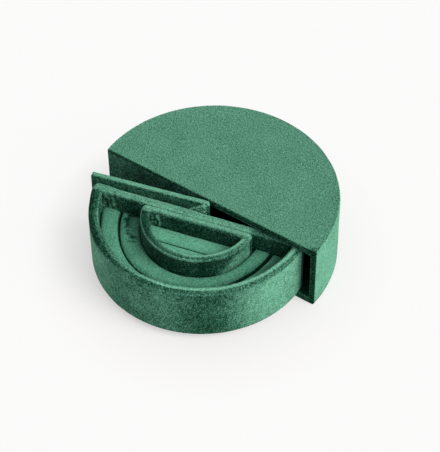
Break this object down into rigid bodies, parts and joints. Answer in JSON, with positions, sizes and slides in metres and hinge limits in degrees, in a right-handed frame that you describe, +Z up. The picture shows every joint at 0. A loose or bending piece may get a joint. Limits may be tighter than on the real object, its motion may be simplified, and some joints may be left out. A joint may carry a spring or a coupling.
{
  "type": "swing-drawer ring box",
  "caption": "Half-moon velvet ring box: a full-height panel hinged at mid-front swings a D-shaped tray with ring rolls and a small inner box out of the case.",
  "frame": {"origin": "centre of the case's circle, on the surface that the box stands on", "axes": "+Z up; -Y out of the case's flat front; +X towards the open half of the front"},
  "size_m": [0.18, 0.1809, 0.0566],
  "materials": {
    "velvet": "short-pile velvet, emerald green, matt with a soft sheen",
    "lining_velvet": "short-pile velvet lining, emerald green",
    "velvet_pads": "velvet over foam",
    "base_felt": "flocked base sheet",
    "fibreboard": "raw fibreboard, hidden",
    "greyboard": "raw greyboard, hidden",
    "pin_steel": "drawn steel wire",
    "hinge_metal": "rolled steel strip",
    "magnet_metal": "plated magnet"
  },
  "bodies": {
    "case": {"case_base_cover": "base_felt", "case_base_board": "fibreboard", "case_top_board": "fibreboard", "case_wall_board": "greyboard", "case_front_board": "greyboard", "case_floor_lining": "lining_velvet", "case_ceiling_lining": "lining_velvet", "case_wall_lining": "lining_velvet", "case_top_velvet": "velvet", "case_wall_velvet": "velvet", "case_front_velvet": "velvet", "case_edge_velvet": "velvet", "case_magnets": "magnet_metal", "hinge_case_leaf": "hinge_metal"},
    "drawer": {"hinge_pin": "pin_steel", "hinge_panel_leaves": "hinge_metal", "hinge_gusset": "velvet", "panel_board": "greyboard", "panel_velvet": "velvet", "panel_magnets": "magnet_metal", "tray_spacer": "greyboard", "tray_base_velvet": "velvet", "tray_base_board": "greyboard", "tray_wall_board": "greyboard", "tray_wall_velvet": "velvet", "tray_back_board": "greyboard", "tray_back_velvet": "velvet", "inner_riser": "greyboard", "inner_wall_board": "greyboard", "inner_wall_velvet": "velvet", "inner_back_board": "greyboard", "inner_back_velvet": "velvet", "inner_pad_rear": "velvet_pads", "inner_pad_front": "velvet_pads", "outer_ring_roll": "velvet_pads", "middle_ring_roll": "velvet_pads"}
  },
  "joints": [
    {"name": "drawer_swing", "type": "hinge", "parent": "case", "child": "drawer", "pos_m": [0, -0.0094, 0.0283], "axis": [0, 0, 1], "range_deg": [-14.5, 165.2]}
  ]
}
